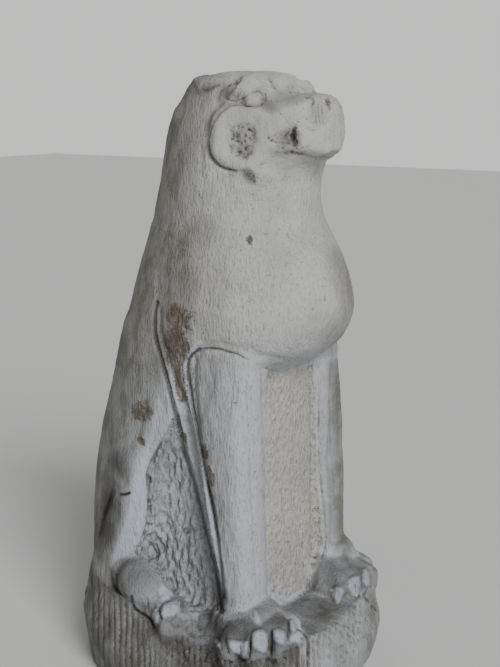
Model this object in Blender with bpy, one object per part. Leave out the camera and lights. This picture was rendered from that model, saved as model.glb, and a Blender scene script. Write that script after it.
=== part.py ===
"""A seated stone tiger, carved in one block with its low rounded plinth.

The tiger faces -Y, +Z is up, and the origin is the centre of the plinth's underside. The figure is
drawn in units of a hundredth of its own height, with heights counted from the plinth's top. What is
drawn at -X, the tiger's right side, is mirrored to its left.
"""

import math

import bmesh
import bpy
import numpy as np
from mathutils import Matrix, Vector

# Driving dimensions, in metres
FIGURE_HEIGHT = 0.88
PLINTH_HEIGHT = 0.12
PLINTH_WIDTH = 0.505
PLINTH_DEPTH = 0.505
PLINTH_TOP_WIDTH = 0.43
PLINTH_TOP_FRONT = 0.214
PLINTH_TOP_BACK = 0.238
PLINTH_EDGE_ROUNDING = 0.011
PLINTH_FOOT_TAPER = 0.014

# How much the plinth's top rises backwards, in metres for each metre, in its front and back halves
PLINTH_FRONT_SLOPE = 0.06
PLINTH_BACK_SLOPE = 0.25

# The shape of a plan: 2 is an ellipse, and more is squarer. The drum's, and the top's two halves.
PLINTH_SQUARENESS = 2.3
PLINTH_FRONT_SQUARENESS = 4.0
PLINTH_BACK_SQUARENESS = 2.6

# The share of the plinth's height up to which its side is upright
PLINTH_UPRIGHT = 0.5

# Stone left below the plinth, to be sawn off flat, in metres
SAW_ALLOWANCE = 0.02

# How finely the masses and then the details are fused, in metres, the points round each outline of the
# plinth, and the triangles that are kept
MASS_VOXEL = 0.006
DETAIL_VOXEL = 0.004
PLINTH_SIDES = 96
TRIANGLES = 9600

STONE_COLOUR = (0.56, 0.55, 0.52, 1.0)
STONE_ROUGHNESS = 0.85

UNIT = FIGURE_HEIGHT / 100

# Chest, neck and crown: height, half width, front, back and squareness
TORSO = (
    (46.0, 13.0, -13.5, 15.0, 2.2),
    (48.6, 17.0, -18.6, 19.2, 2.2),
    (52.5, 18.6, -22.2, 20.2, 2.2),
    (58.2, 18.7, -24.0, 19.2, 2.1),
    (65.9, 17.1, -21.9, 16.9, 2.1),
    (73.4, 15.3, -17.8, 14.6, 2.0),
    (78.0, 14.7, -16.9, 13.4, 2.0),
    (81.0, 14.3, -17.2, 12.8, 2.0),
    (84.0, 14.0, -16.8, 12.3, 2.0),
    (89.0, 13.2, -14.2, 11.2, 2.0),
    (93.5, 12.2, -14.0, 9.2, 2.1),
    (96.4, 10.6, -13.4, 7.0, 2.2),
    (98.5, 8.0, -11.6, 4.2, 2.3),
    (99.6, 4.6, -9.0, 0.8, 2.3),
)

# The rump and the stone left uncut between the legs, in the same terms
SEAT = (
    (-2.0, 20.2, -14.8, 28.0, 2.6),
    (6.0, 20.2, -14.2, 28.2, 2.6),
    (20.0, 19.8, -14.0, 27.4, 2.6),
    (30.5, 18.9, -13.8, 25.8, 2.6),
    (38.5, 18.6, -13.4, 23.6, 2.5),
    (46.5, 18.3, -13.0, 21.6, 2.4),
    (54.0, 18.0, -12.0, 20.0, 2.2),
)

# The right legs: height, middle across, half width, front, back and squareness
HIND_LEG = (
    (-1.0, -17.2, 4.6, 10.4, 20.4, 2.8),
    (6.0, -17.2, 4.8, 9.4, 20.0, 2.8),
    (10.0, -16.9, 4.9, 8.0, 19.2, 3.0),
    (13.0, -16.5, 5.1, 6.6, 18.0, 3.0),
    (18.4, -16.0, 5.3, 4.8, 16.4, 3.0),
    (22.5, -15.7, 5.4, 4.2, 15.6, 3.0),
    (27.0, -15.4, 5.5, 4.4, 15.4, 2.6),
    (31.0, -14.6, 5.2, 5.2, 16.0, 2.4),
    (37.0, -13.4, 4.8, 5.2, 17.0, 2.2),
    (44.0, -12.0, 4.0, 6.0, 17.0, 2.1),
)
FORELEG = (
    (-1.0, -14.6, 4.2, -16.2, -9.2, 3.2),
    (4.5, -14.5, 4.2, -16.1, -9.4, 3.4),
    (13.0, -14.5, 4.5, -15.9, -8.3, 3.6),
    (20.5, -14.5, 4.7, -15.6, -6.9, 3.6),
    (27.7, -14.3, 4.8, -15.3, -5.2, 3.6),
    (35.8, -13.9, 4.9, -15.1, -3.1, 3.6),
    (42.0, -13.3, 4.9, -15.0, -1.2, 3.4),
    (49.0, -12.6, 4.7, -15.0, 1.7, 3.0),
    (55.0, -12.4, 4.5, -14.0, 3.2, 2.6),
    (60.0, -12.0, 4.5, -10.0, 3.0, 2.3),
    (64.0, -11.6, 4.0, -7.0, 0.5, 2.1),
)

# The muzzle, from the cheeks forwards: depth, half width, underside, top and squareness
MUZZLE = (
    (-5.0, 11.6, 84.0, 93.0, 2.4),
    (-10.0, 12.1, 84.0, 94.0, 2.8),
    (-14.0, 11.6, 83.8, 95.2, 3.0),
    (-17.0, 9.9, 83.6, 95.8, 3.0),
    (-19.8, 6.9, 83.8, 95.4, 2.8),
    (-21.9, 3.8, 85.4, 93.0, 2.6),
)

# Rounded ridges, as x, y, z and radius: the right brow, and the tail laid up the middle of the back
BROW = (
    (-10.4, -5.6, 94.0, 1.0),
    (-10.6, -7.4, 95.6, 1.5),
    (-9.4, -9.4, 96.4, 1.9),
    (-7.2, -11.2, 96.1, 1.7),
    (-5.0, -12.6, 95.4, 1.3),
    (-3.2, -13.6, 94.2, 1.0),
)
TAIL = (
    (0.0, 27.6, -1.0, 2.2),
    (0.0, 27.9, 8.0, 2.2),
    (0.6, 27.3, 16.0, 2.1),
    (2.0, 26.2, 24.0, 2.0),
    (3.4, 24.6, 31.0, 1.9),
    (3.2, 23.0, 37.0, 1.8),
    (1.0, 22.0, 41.0, 1.7),
    (-1.6, 22.1, 40.4, 1.6),
)

# The cheek: a flat disc with a rounded rim, turned a little to the front
CHEEK_PLACE = (-10.3, -9.8, 88.3)
CHEEK_TURN = 18
CHEEK_RADIUS = 6.2
CHEEK_THICKNESS = 5.0
CHEEK_ROUNDING = 1.0

# The toes of a paw: the angle each points in, and how far its knuckle is from the wrist
FORE_TOES = ((196, 7.6), (222, 8.0), (247, 7.6), (272, 6.8), (298, 5.8))
HIND_TOES = ((220, 3.2), (252, 3.6), (284, 3.2))
FORE_TOE_SIZE = 1.15
HIND_TOE_SIZE = 1.05

# The wrists. The left one, given as if on the right, is set further in and turned in by some degrees.
RIGHT_WRIST = (-14.8, -13.4, -0.2)
LEFT_WRIST = (-12.6, -12.4, -0.2)
LEFT_PAW_TURN = 26

# Lines cut on the side, as places along the tiger and heights. The flap behind the foreleg lies
# between the first two, the third is the chest's lower edge, and the last is behind the calf.
FLAP_BACK = (
    (4.2, 65.0), (3.5, 59.7), (3.1, 54.3), (1.6, 49.0), (0.0, 44.5), (-1.3, 42.0),
    (-3.2, 35.8), (-5.3, 27.7), (-7.0, 20.5), (-8.5, 13.1), (-9.5, 4.5), (-9.8, 1.5),
)
FLAP_FRONT = (
    (-14.5, 52.0), (-9.5, 53.0), (-6.4, 52.3), (-4.3, 50.3), (-3.5, 47.5), (-4.1, 42.4),
    (-6.1, 33.5), (-7.7, 26.4), (-9.2, 19.0), (-10.3, 11.6), (-10.9, 5.3),
)
CHEST_EDGE = ((-21.0, 48.9), (-18.2, 49.6), (-14.7, 51.3), (-10.5, 52.1), (-6.1, 52.0), (-4.3, 50.6))
CALF = ((13.6, 24.0), (14.4, 21.5), (15.8, 18.5), (17.9, 14.6))

# Each of those lines with its half width and its depth
GROOVES = ((FLAP_BACK, 1.1, 1.0), (FLAP_FRONT, 0.9, 0.8), (CHEST_EDGE, 0.9, 0.6), (CALF, 1.0, 1.0))

# The panel between hind leg and foreleg: its outline, how far out it lies, how much it bows, the
# place along the tiger where it lies furthest out, and how wide its sloping edge is
SIDE_PANEL = (
    (-1.8, 41.0), (0.3, 37.0), (2.4, 33.0), (4.6, 29.5), (4.9, 27.0), (4.5, 22.5), (5.2, 18.4),
    (7.0, 13.1), (9.4, 9.0), (13.0, 5.0), (14.0, -2.0), (-10.2, -2.0), (-9.5, 4.5), (-8.5, 13.1),
    (-7.0, 20.5), (-5.3, 27.7), (-3.2, 35.8),
)
PANEL_OUT = 16.3
PANEL_BOW = 0.012
PANEL_MIDDLE = 5.0
PANEL_EDGE = 1.6

# Carving on the side reaches in to this distance from the middle
SIDE_LIMIT = 9.0


def clear_scene():
    for thing in list(bpy.data.objects):
        bpy.data.objects.remove(thing)


def smooth_through(stations, steps):
    """Rows through the given ones, on a Catmull-Rom curve with this many steps between each two."""
    rows = np.array(stations, float)
    padded = np.vstack([2 * rows[0] - rows[1], rows, 2 * rows[-1] - rows[-2]])
    found = []
    for a, b, c, d in zip(padded, padded[1:], padded[2:], padded[3:]):
        for t in np.arange(steps) / steps:
            bend = 2 * a - 5 * b + 4 * c - d
            swing = 3 * b - a - 3 * c + d
            found.append(0.5 * (2 * b + (c - a) * t + bend * t**2 + swing * t**3))
    return np.array(found + [rows[-1]])


def superellipse(sides, squareness):
    """Pairs of cosine and sine all round, pushed out towards the corners of a square."""
    def power(value):
        return math.copysign(abs(value) ** (2 / squareness), value)

    turns = [2 * math.pi * k / sides for k in range(sides)]
    return [(power(math.cos(turn)), power(math.sin(turn))) for turn in turns]


def bridge_rings(mesh, rings):
    """Skins a row of closed rings of points and caps both ends."""
    loops = []
    for ring in rings:
        points = [mesh.verts.new(point) for point in ring]
        loops.append([mesh.edges.new((a, b)) for a, b in zip(points, points[1:] + points[:1])])
    for lower, upper in zip(loops, loops[1:]):
        bmesh.ops.bridge_loops(mesh, edges=lower + upper)
    bmesh.ops.contextual_create(mesh, geom=loops[0])
    bmesh.ops.contextual_create(mesh, geom=loops[-1])
    bmesh.ops.recalc_face_normals(mesh, faces=mesh.faces)


def post(mesh, stations, sides=32):
    """An upright mass of level sections: height, middle across, half width, front, back, squareness."""
    rings = []
    for height, middle_x, half_width, front, back, squareness in smooth_through(stations, steps=4):
        middle_y, half_depth = (front + back) / 2, (back - front) / 2
        rings.append([
            (middle_x + half_width * across, middle_y + half_depth * along, height)
            for across, along in superellipse(sides, squareness)
        ])
    bridge_rings(mesh, rings)


def stack(mesh, stations):
    """A post on the middle plane: height, half width, front, back and squareness."""
    post(mesh, [(height, 0.0, *others) for height, *others in stations], sides=48)


def limb(mesh, stations, sides=20):
    """A rounded limb along a path of x, y, z and radius."""
    rows = smooth_through(stations, steps=5)
    rings = []
    for index, (x, y, z, radius) in enumerate(rows.tolist()):
        ahead = rows[min(index + 1, len(rows) - 1), :3]
        behind = rows[max(index - 1, 0), :3]
        along = Vector(ahead - behind).normalized()
        level = Vector((0, 0, 1)) if abs(along.z) < 0.9 else Vector((0, 1, 0))
        side = along.cross(level).normalized() * radius
        other = along.cross(side)
        rings.append([
            Vector((x, y, z)) + across * side + upwards * other
            for across, upwards in superellipse(sides, squareness=2)
        ])
    bridge_rings(mesh, rings)


def placement(centre, turn):
    """The matrix that moves a shape to a centre and turns it about X, Y and Z in degrees."""
    place = Matrix.Translation(centre)
    for angle, axis in zip(turn, "XYZ"):
        place = place @ Matrix.Rotation(math.radians(angle), 4, axis)
    return place


def egg(mesh, centre, radii, turn=(0, 0, 0)):
    place = placement(centre, turn) @ Matrix.Diagonal((*radii, 1))
    bmesh.ops.create_uvsphere(mesh, u_segments=24, v_segments=16, radius=1, matrix=place)


def block(mesh, centre, half_sizes, rounding, turn):
    """A box with rounded edges."""
    made = bmesh.ops.create_cube(mesh, size=2, matrix=Matrix.Diagonal((*half_sizes, 1)))
    edges = {edge for corner in made["verts"] for edge in corner.link_edges}
    rounded = bmesh.ops.bevel(
        mesh, geom=list(edges), offset=rounding, affect="EDGES", segments=4, profile=0.5, material=-1
    )
    corners = {corner for face in rounded["faces"] for corner in face.verts}
    bmesh.ops.transform(mesh, matrix=placement(centre, turn), verts=list(corners))


def toe(mesh, wrist, sweep, reach, size):
    """One toe that points away from the wrist at this angle in plan, with its blunt claw."""
    direction = Vector((math.cos(math.radians(sweep)), math.sin(math.radians(sweep)), 0))
    heading = (0, 0, sweep + 90)
    knuckle = Vector(wrist) + direction * reach + Vector((0, 0, 0.9 * size))
    egg(mesh, knuckle, (1.9 * size, 3.4 * size, 2.3 * size), heading)
    claw = Vector(wrist) + direction * (reach + 2.3 * size) - Vector((0, 0, 0.3 * size))
    block(mesh, claw, (1.45 * size, 1.5 * size, 2.0 * size), 0.7 * size, heading)


def forepaw(mesh, wrist=RIGHT_WRIST, turned_in=0):
    """The broad forepaw, with its toes in a fan."""
    egg(mesh, Vector(wrist) + Vector((0, -0.6, 1.0)), (7.2, 7.2, 4.8))
    for sweep, reach in FORE_TOES:
        toe(mesh, wrist, sweep + turned_in, reach, FORE_TOE_SIZE)


def inturned_forepaw(mesh):
    """The left forepaw, given as if on the right: its wrist stands higher and further out."""
    egg(mesh, Vector(LEFT_WRIST) + Vector((-2.4, -1.6, 3.0)), (5.4, 5.4, 5.4))
    forepaw(mesh, LEFT_WRIST, LEFT_PAW_TURN)


def foreleg(mesh):
    post(mesh, FORELEG)


def hind_leg(mesh):
    """Thigh, knee and the folded lower leg down to the hock."""
    post(mesh, HIND_LEG)
    egg(mesh, (-18.2, 8.8, 27.2), (3.2, 3.8, 4.4))


def hind_foot(mesh):
    """The ball of the hind foot, with its toes reaching forwards along the plinth."""
    egg(mesh, (-20.6, 6.4, 6.0), (4.6, 5.0, 4.4))
    egg(mesh, (-20.4, 1.8, 2.2), (3.6, 4.2, 3.0))
    for sweep, reach in HIND_TOES:
        toe(mesh, (-20.6, 0.8, 0.6), sweep, reach, HIND_TOE_SIZE)


def muzzle(mesh):
    """The broad muzzle, raised, narrowing from the cheeks to its blunt front."""
    rings = []
    for depth, half_width, low, high, squareness in smooth_through(MUZZLE, steps=4):
        rings.append([
            (half_width * across, depth, (low + high + (high - low) * upwards) / 2)
            for across, upwards in superellipse(40, squareness)
        ])
    bridge_rings(mesh, rings)


def cheek(mesh):
    place = placement(CHEEK_PLACE, (0, 0, CHEEK_TURN)) @ Matrix.Rotation(math.radians(90), 4, "Y")
    made = bmesh.ops.create_cone(
        mesh, cap_ends=True, segments=40, radius1=CHEEK_RADIUS, radius2=CHEEK_RADIUS,
        depth=CHEEK_THICKNESS, matrix=place
    )
    edges = {edge for corner in made["verts"] for edge in corner.link_edges}
    rims = [edge for edge in edges if any(len(face.verts) > 4 for face in edge.link_faces)]
    bmesh.ops.bevel(
        mesh, geom=rims, offset=CHEEK_ROUNDING, affect="EDGES", segments=4, profile=0.5, material=-1
    )


def face_side(mesh):
    """Cheek, jowl, brow, eye and ear of one side."""
    cheek(mesh)
    egg(mesh, (-5.6, -10.6, 83.6), (6.2, 5.4, 5.8))
    limb(mesh, BROW)
    egg(mesh, (-10.4, -10.8, 94.5), (2.0, 2.7, 1.6), turn=(8, 0, -24))
    egg(mesh, (-9.0, -2.6, 96.4), (2.6, 4.6, 2.5), turn=(14, 0, 8))


def both_sides(mesh, make, make_left=None):
    """Makes a shape on the tiger's right side, and its mirror image, or another's, on the left."""
    make(mesh)
    twin = bmesh.new()
    (make_left or make)(twin)
    bmesh.ops.scale(twin, vec=(-1, 1, 1), verts=twin.verts)
    bmesh.ops.reverse_faces(twin, faces=twin.faces)
    copy = bpy.data.meshes.new("twin")
    twin.to_mesh(copy)
    twin.free()
    add_skin(mesh, copy)


def add_skin(mesh, skin):
    mesh.from_mesh(skin)
    bpy.data.meshes.remove(skin)


def to_metres(mesh):
    """Turns figure units, above the plinth's top, into metres above its underside."""
    scaling = Matrix.Translation((0, 0, PLINTH_HEIGHT)) @ Matrix.Scale(UNIT, 4)
    bmesh.ops.transform(mesh, matrix=scaling, verts=mesh.verts)


def plinth_ring(height, drawn_in):
    """The plinth's outline at one height: the round drum's low down, the squarer top's at the top."""
    drum = superellipse(PLINTH_SIDES, PLINTH_SQUARENESS)
    front = superellipse(PLINTH_SIDES, PLINTH_FRONT_SQUARENESS)
    back = superellipse(PLINTH_SIDES, PLINTH_BACK_SQUARENESS)
    share = max(height / PLINTH_HEIGHT - PLINTH_UPRIGHT, 0) / (1 - PLINTH_UPRIGHT)
    ring = []
    for low, ahead, behind in zip(drum, front, back):
        in_front = low[1] < 0
        high = ahead if in_front else behind
        reach = PLINTH_TOP_FRONT if in_front else PLINTH_TOP_BACK
        x = (PLINTH_WIDTH * low[0] * (1 - share) + PLINTH_TOP_WIDTH * high[0] * share) / 2
        y = PLINTH_DEPTH / 2 * low[1] * (1 - share) + reach * high[1] * share
        slope = PLINTH_FRONT_SLOPE if in_front else PLINTH_BACK_SLOPE
        inward = Vector((x, y)).normalized() * drawn_in
        rise = slope * y * max(height, 0) / PLINTH_HEIGHT
        ring.append((x - inward.x, y - inward.y, height + rise))
    return ring


def plinth(mesh):
    """The low block in metres, with a rounded upper edge and a foot a little drawn in."""
    rounding = PLINTH_EDGE_ROUNDING
    outline = [(-SAW_ALLOWANCE, PLINTH_FOOT_TAPER), (PLINTH_HEIGHT * PLINTH_UPRIGHT, 0.0)]
    for angle in np.radians([0, 22.5, 45, 67.5, 90]):
        outline.append((PLINTH_HEIGHT - rounding * (1 - math.sin(angle)), rounding * (1 - math.cos(angle))))
    bridge_rings(mesh, [plinth_ring(height, drawn_in) for height, drawn_in in outline])


def evaluated(source, kind, **settings):
    """The mesh that a source mesh becomes under one modifier. The source is used up."""
    holder = bpy.data.objects.new("holder", source)
    bpy.context.scene.collection.objects.link(holder)
    modifier = holder.modifiers.new(kind.title(), kind)
    for name, value in settings.items():
        setattr(modifier, name, value)
    bpy.context.view_layer.update()
    graph = bpy.context.evaluated_depsgraph_get()
    result = bpy.data.meshes.new_from_object(holder.evaluated_get(graph))
    bpy.data.objects.remove(holder)
    bpy.data.meshes.remove(source)
    return result


def fused(mesh, voxel):
    """Overlapping masses made one closed skin."""
    source = bpy.data.meshes.new("masses")
    mesh.to_mesh(source)
    mesh.free()
    return evaluated(source, "REMESH", mode="VOXEL", voxel_size=voxel)


def thinned(source, triangles):
    """The same skin with fewer triangles, more of them where it bends."""
    source.calc_loop_triangles()
    return evaluated(source, "DECIMATE", ratio=triangles / len(source.loop_triangles))


def read_vectors(collection, name):
    values = np.empty(len(collection) * 3, np.float32)
    collection.foreach_get(name, values)
    return values.reshape(-1, 3).astype(float)


def write_points(mesh, points):
    mesh.vertices.foreach_set("co", points.astype(np.float32).ravel())
    mesh.update()


def relax(mesh, rounds):
    """Moves each point half way to the middle of its neighbours, as rubbing rounds a form."""
    points = read_vectors(mesh.vertices, "co")
    count = len(points)
    edges = np.empty(len(mesh.edges) * 2, np.int32)
    mesh.edges.foreach_get("vertices", edges)
    first, second = edges.reshape(-1, 2).T
    valence = np.bincount(first, minlength=count) + np.bincount(second, minlength=count)
    for _ in range(rounds):
        sums = [
            np.bincount(first, points[second, axis], count) + np.bincount(second, points[first, axis], count)
            for axis in range(3)
        ]
        points = (points + np.array(sums).T / valence[:, None]) / 2
    write_points(mesh, points)


def smooth_step(value):
    value = np.clip(value, 0, 1)
    return value * value * (3 - 2 * value)


def figure_points(mesh):
    """The mesh's points in figure units."""
    return (read_vectors(mesh.vertices, "co") - (0, 0, PLINTH_HEIGHT)) / UNIT


def write_figure_points(mesh, points):
    write_points(mesh, points * UNIT + (0, 0, PLINTH_HEIGHT))


def reach_to_path(points, path):
    """Each point's distance to a path of straight pieces."""
    nearest = np.full(len(points), np.inf)
    for start, end in zip(np.array(path), np.array(path[1:])):
        along = end - start
        share = np.clip((points - start) @ along / (along @ along), 0, 1)
        offset = points - start - share[:, None] * along
        nearest = np.minimum(nearest, np.hypot(*offset.T))
    return nearest


def depth_inside(points, outline):
    """Each point's distance to a closed outline, positive inside it."""
    closed = outline + outline[:1]
    inside = np.zeros(len(points), bool)
    for (ay, az), (by, bz) in zip(closed, closed[1:]):
        if az != bz:
            crosses = (az > points[:, 1]) != (bz > points[:, 1])
            inside ^= crosses & (points[:, 0] < ay + (points[:, 1] - az) * (by - ay) / (bz - az))
    distance = reach_to_path(points, closed)
    return np.where(inside, distance, -distance)


def cut_side_panels(mesh):
    """Takes the stone between hind leg and foreleg back to a slightly bowed panel."""
    points = figure_points(mesh)
    side = np.abs(points[:, 0])
    panel = PANEL_OUT - PANEL_BOW * (points[:, 1] - PANEL_MIDDLE) ** 2
    share = smooth_step(depth_inside(points[:, 1:], SIDE_PANEL) / PANEL_EDGE + 0.3)
    cut = share * np.clip(side - panel, 0, None) * (side > SIDE_LIMIT)
    points[:, 0] -= np.sign(points[:, 0]) * cut
    write_figure_points(mesh, points)


def cut_grooves(mesh):
    """Cuts the long lines of both sides into the faces that look sideways."""
    points = figure_points(mesh)
    outward = read_vectors(mesh.vertex_normals, "vector")
    sideways = smooth_step((np.abs(outward[:, 0]) - 0.2) / 0.3) * (np.abs(points[:, 0]) > SIDE_LIMIT)
    depth = np.zeros(len(points))
    for path, half_width, deep in GROOVES:
        share = 1 - smooth_step(reach_to_path(points[:, 1:], path) / half_width)
        depth = np.maximum(depth, deep * share * sideways)
    write_figure_points(mesh, points - depth[:, None] * outward)


def body():
    """Torso, rump and hind legs, fused, rubbed smooth, and cut back between the legs."""
    mesh = bmesh.new()
    stack(mesh, TORSO)
    stack(mesh, SEAT)
    both_sides(mesh, hind_leg)
    limb(mesh, TAIL)
    to_metres(mesh)
    skin = fused(mesh, MASS_VOXEL)
    relax(skin, rounds=8)
    cut_side_panels(skin)
    return skin


def figure_and_plinth():
    """The whole block, with the forelegs, the paws and the face set on the rubbed body."""
    mesh = bmesh.new()
    muzzle(mesh)
    both_sides(mesh, face_side)
    both_sides(mesh, foreleg)
    both_sides(mesh, forepaw, inturned_forepaw)
    both_sides(mesh, hind_foot)
    to_metres(mesh)
    add_skin(mesh, body())
    plinth(mesh)
    skin = fused(mesh, DETAIL_VOXEL)
    relax(skin, rounds=2)
    cut_grooves(skin)
    relax(skin, rounds=1)
    return skin


def saw_flat(source):
    """Cuts the underside off level with the origin."""
    mesh = bmesh.new()
    mesh.from_mesh(source)
    everything = mesh.verts[:] + mesh.edges[:] + mesh.faces[:]
    bmesh.ops.bisect_plane(mesh, geom=everything, plane_co=(0, 0, 0), plane_no=(0, 0, -1), clear_outer=True)
    bmesh.ops.holes_fill(mesh, edges=[edge for edge in mesh.edges if edge.is_boundary], sides=0)
    bmesh.ops.recalc_face_normals(mesh, faces=mesh.faces)
    mesh.to_mesh(source)
    mesh.free()


def pale_stone():
    material = bpy.data.materials.new("Pale stone")
    material.use_nodes = True
    shader = material.node_tree.nodes["Principled BSDF"]
    shader.inputs["Base Color"].default_value = STONE_COLOUR
    shader.inputs["Roughness"].default_value = STONE_ROUGHNESS
    shader.inputs["Metallic"].default_value = 0.0
    material.diffuse_color = STONE_COLOUR
    return material


def main():
    clear_scene()
    skin = thinned(figure_and_plinth(), TRIANGLES)
    saw_flat(skin)
    skin.name = "stone_tiger"
    skin.materials.append(pale_stone())
    skin.shade_smooth()
    tiger = bpy.data.objects.new("stone_tiger", skin)
    bpy.context.scene.collection.objects.link(tiger)


main()
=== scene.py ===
"""The looks of a seated stone tiger, carved in one block with its low plinth.

The solid's surface is copied, smoothed and carved finer: the face, the flap behind the foreleg, the
pecked panels, the paws, the furrows round the plinth, and the chips and cracks. Carved details are placed
by their pixels in the photograph, as column and row. Lengths are in metres unless they are given in pixels.
"""

import math
from itertools import product

import bmesh
import bpy
import numpy as np
from bpy.props import FloatProperty, FloatVectorProperty, IntProperty, PointerProperty
from mathutils import Euler, Matrix, Vector


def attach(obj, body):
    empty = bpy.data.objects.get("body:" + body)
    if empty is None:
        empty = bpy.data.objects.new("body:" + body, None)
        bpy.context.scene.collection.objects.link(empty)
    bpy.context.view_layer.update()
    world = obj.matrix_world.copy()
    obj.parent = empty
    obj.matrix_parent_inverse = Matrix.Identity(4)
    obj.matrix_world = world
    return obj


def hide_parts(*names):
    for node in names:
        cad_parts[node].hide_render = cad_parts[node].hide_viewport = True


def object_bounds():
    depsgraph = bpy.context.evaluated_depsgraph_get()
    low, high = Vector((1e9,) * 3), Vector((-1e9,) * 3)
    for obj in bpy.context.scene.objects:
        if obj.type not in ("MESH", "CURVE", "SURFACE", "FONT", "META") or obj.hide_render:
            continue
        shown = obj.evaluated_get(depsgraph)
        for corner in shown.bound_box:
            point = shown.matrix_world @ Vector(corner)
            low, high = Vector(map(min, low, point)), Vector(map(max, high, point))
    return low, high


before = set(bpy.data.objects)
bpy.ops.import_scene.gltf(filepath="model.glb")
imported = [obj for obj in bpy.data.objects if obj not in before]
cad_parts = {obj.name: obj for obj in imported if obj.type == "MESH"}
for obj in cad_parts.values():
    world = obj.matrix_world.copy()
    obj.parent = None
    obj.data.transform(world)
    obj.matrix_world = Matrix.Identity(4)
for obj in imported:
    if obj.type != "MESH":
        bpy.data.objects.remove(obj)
CAD_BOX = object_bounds()

bl_info = {
    "name": "Seated stone tiger",
    "version": (1, 0, 0),
    "blender": (4, 5, 0),
    "location": "View3D > Sidebar > Tiger",
    "description": "Carves and finishes a seated stone tiger on its plinth, and sets its stage",
    "category": "Add Mesh",
}

# The solid that this script dresses
NODE = "stone_tiger"

# The photograph's size in pixels
PHOTO_WIDTH = 500
PHOTO_HEIGHT = 667

# The plinth's top: its height in the middle, and how much it rises backwards before and behind that
PLINTH_TOP = 0.12
PLINTH_FRONT_SLOPE = 0.06
PLINTH_BACK_SLOPE = 0.25

# From furrow to furrow where the photograph shows them
FURROW_PIXELS = 5.7

# The upright line through the origin shows in this column
AXIS_COLUMN = 231.5

# The camera: round from the front, away from the axis, above the ground, looking down, focal length
CAMERA_AZIMUTH = math.radians(-55)
CAMERA_DISTANCE = 1.8
CAMERA_HEIGHT = 0.96
CAMERA_PITCH = math.radians(12.36)
FOCAL_PIXELS = 1090.0

# A point counts as seen where it faces the camera at least this squarely, from -1 to 1
LEAST_FACING = 0.05

# Corners of the solid's loose triangles are joined where they are this close
MERGE_DISTANCE = 0.00002

# Steps of the smooth curve between two points of a line
LINE_STEPS = 4

# Head: lines cut on both sides, as points, half width in pixels and depth
CHEEK_EDGE = (
    (244, 105.5), (230, 105.5), (220, 112), (213, 121), (209, 131), (207, 140), (208, 149), (211, 158),
    (217, 165), (225, 169), (235, 171), (243, 170),
)
EYE_TOP = ((240, 104), (244, 97), (250, 92.3), (257, 91.3), (262, 93.5), (265, 101.5))
EYE_FOOT = ((240, 104), (247, 106.5), (255, 107.3), (261, 105.5), (265, 101.5))
IRIS = ((255, 93), (251.5, 95.5), (250.5, 99), (252, 103), (255, 104.5))
MUZZLE_TOP = ((265, 101.5), (275, 101), (283, 98), (296, 94.5), (309, 90.5))
FOLD_BY_EYE = ((265.5, 93), (267, 100))
FROWN = ((270, 78), (273, 82), (276.5, 88))
FAR_BROW_FOOT = ((276.5, 88), (285, 93.5), (297, 89.5), (305, 88))
EAR_HOLLOW = ((203, 92), (209, 90.5), (214.5, 86.5), (222, 83))
EAR_FRONT = ((240, 76.5), (236, 81), (230, 88), (224.5, 97))
JAW = ((284, 152), (293, 153), (303, 155.5), (316, 158.5), (324, 157), (332, 153), (342, 146.5))
BROW_FOOT = ((224.5, 98), (232, 100.5), (239, 99.5), (244, 96))
MUZZLE_EDGE = ((324, 95), (328, 104), (330.5, 113), (332, 121), (331.5, 131), (331.5, 143), (328, 154))
CHIN_FOLD = ((259, 165), (266, 164))
NOSTRIL = ((306, 98), (311, 97), (314, 101), (312, 106))
NOSE_FOOT = ((305, 128), (311, 130), (318, 129.5), (326, 124), (332, 115))
MUZZLE_LINE = ((282, 114.5), (286.5, 121), (291, 126))
MOUTH_HOLE = ((295, 128), (293, 136), (295.5, 145))
HEAD_LINES = (
    (CHEEK_EDGE, 2.8, 0.0044),
    (EYE_TOP, 1.5, 0.0022),
    (EYE_FOOT, 1.5, 0.0020),
    (IRIS, 1.1, 0.0011),
    (BROW_FOOT, 2.0, 0.0026),
    (MUZZLE_TOP, 2.2, 0.0028),
    (FOLD_BY_EYE, 1.8, 0.0028),
    (FROWN, 3.2, 0.0040),
    (FAR_BROW_FOOT, 2.0, 0.0026),
    (EAR_HOLLOW, 3.4, 0.0034),
    (EAR_FRONT, 4.5, 0.0050),
    (JAW, 1.8, 0.0014),
    (CHIN_FOLD, 1.4, 0.0016),
    (NOSTRIL, 1.8, 0.0034),
    (NOSE_FOOT, 1.6, 0.0018),
    (MUZZLE_LINE, 1.4, 0.0014),
    (MOUTH_HOLE, 3.0, 0.0070),
    (((283, 79), (287, 84), (291, 89)), 1.2, 0.0016),
    (((288, 77), (292, 82), (297, 87)), 1.2, 0.0016),
)

# Strokes of the chisel on the nose: top, foot, half width and depth
NOSE_STROKES = [
    (((column, 104), (column + 1.5, 115), (column + 2, 126)), 1.5, 0.0020)
    for column in (311.5, 314.5, 318, 321.5)
]

# Body: the flap behind the foreleg, the ledge under the chest, and the legs
FLAP_BACK = (
    (157, 302), (155, 320), (155.3, 337), (160.4, 356), (166.3, 378), (172.1, 403), (178, 424),
    (185.3, 452), (192.7, 477), (200, 503), (207.4, 535), (213.2, 559), (218, 585), (221, 607),
)
FLAP_FRONT = (
    (200, 349), (191.5, 356), (188.3, 366), (189, 380), (190.5, 394), (192.7, 409), (198.6, 440),
    (204.4, 469), (208.8, 491), (214.7, 521), (219, 550), (222, 575), (224, 598),
)
LEDGE = ((200, 349), (214, 348.5), (225, 350.5), (237, 353.5), (250, 359.6), (263, 367), (279, 371.7),
         (296, 367), (313, 358), (331, 345.7))
CALF = ((113.5, 491), (109.5, 503), (104, 517), (100.5, 535))
SHIN_BACK = ((134, 470), (128, 498), (123.7, 520), (116, 545))
LEG_CORNER = ((244.3, 363), (247.5, 404), (249.6, 441), (251.7, 497), (254.4, 552), (258, 590))
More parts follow.
